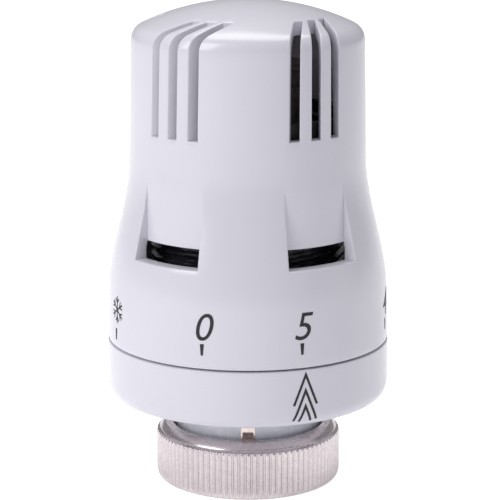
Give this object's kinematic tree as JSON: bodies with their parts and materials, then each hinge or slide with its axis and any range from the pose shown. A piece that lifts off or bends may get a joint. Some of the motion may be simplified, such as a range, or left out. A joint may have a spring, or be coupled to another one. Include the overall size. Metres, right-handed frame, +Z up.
{
  "type": "thermostatic radiator valve head",
  "caption": "Thermostatic radiator valve head: white handwheel with vents and windows, fixed index ring, liquid sensor and pusher inside, knurled union nut below.",
  "frame": {"origin": "centre of the union nut's lower rim, the lowest point of the head", "axes": "+Z up along the head's axis towards the dome, -Y towards the viewer who reads the index mark, +X to that viewer's right"},
  "size_m": [0.0516, 0.0516, 0.0885],
  "materials": {
    "white_abs": "glossy moulded white",
    "black_nylon": "satin black moulding",
    "grey_neck": "smooth grey moulding",
    "nickel_plate": "bright nickel plate on brass",
    "bare_brass": "machined brass",
    "spring_steel": "drawn spring steel",
    "sensor_shell": "dark oxidised can",
    "rod_seal_rubber": "moulded rubber",
    "natural_acetal": "natural acetal"
  },
  "bodies": {
    "base": {"neck_socket": "grey_neck", "seat_liner": "bare_brass", "pointer_ring": "white_abs", "threaded_sleeve": "black_nylon", "base_screw_1": "spring_steel", "base_screw_2": "spring_steel", "base_screw_3": "spring_steel", "guide_plate": "natural_acetal", "snap_ring": "spring_steel"},
    "nut_washer": {"slip_ring": "natural_acetal"},
    "union_nut": {"union_nut": "nickel_plate"},
    "handwheel": {"handwheel": "white_abs", "drive_ring": "black_nylon", "retaining_ring": "natural_acetal"},
    "carrier": {"carrier": "black_nylon", "spring_retainer": "spring_steel", "retainer_clip": "spring_steel", "overtravel_spring": "spring_steel"},
    "sensor": {"sensor_can": "sensor_shell", "sensor_flange": "bare_brass", "rod_seal": "rod_seal_rubber", "bellows": "bare_brass", "return_spring": "spring_steel"},
    "piston": {"piston_rod": "spring_steel", "pusher": "natural_acetal", "lock_nut": "spring_steel"}
  },
  "joints": [
    {"name": "handwheel_turn", "type": "hinge", "parent": "base", "child": "handwheel", "pos_m": [0, 0, 0.02685], "axis": [0, 0, 1], "range_deg": [-319, 0]},
    {"name": "carrier_travel", "type": "slide", "parent": "handwheel", "child": "carrier", "axis": [0, 0, 1], "range_m": [-0.00485, 0]},
    {"name": "overtravel", "type": "slide", "parent": "carrier", "child": "sensor", "axis": [0, 0, 1], "range_m": [0, 0.002], "stiffness_N_per_m": 600, "springref_m": -0.02, "deforming": ["overtravel_spring"]},
    {"name": "piston_stroke", "type": "slide", "parent": "sensor", "child": "piston", "axis": [0, 0, 1], "range_m": [-0.0025, 0], "stiffness_N_per_m": 1600, "springref_m": 0.003, "deforming": ["return_spring", "bellows"]},
    {"name": "nut_slide", "type": "slide", "parent": "base", "child": "nut_washer", "axis": [0, 0, 1], "range_m": [0, 0.0045]},
    {"name": "nut_turn", "type": "hinge", "parent": "nut_washer", "child": "union_nut", "pos_m": [0, 0, 0.0088], "axis": [0, 0, 1], "continuous": true}
  ],
  "couplings": [
    {"joint": "carrier_travel", "follows": "handwheel_turn", "m_per_rad": 0.00085944}
  ]
}
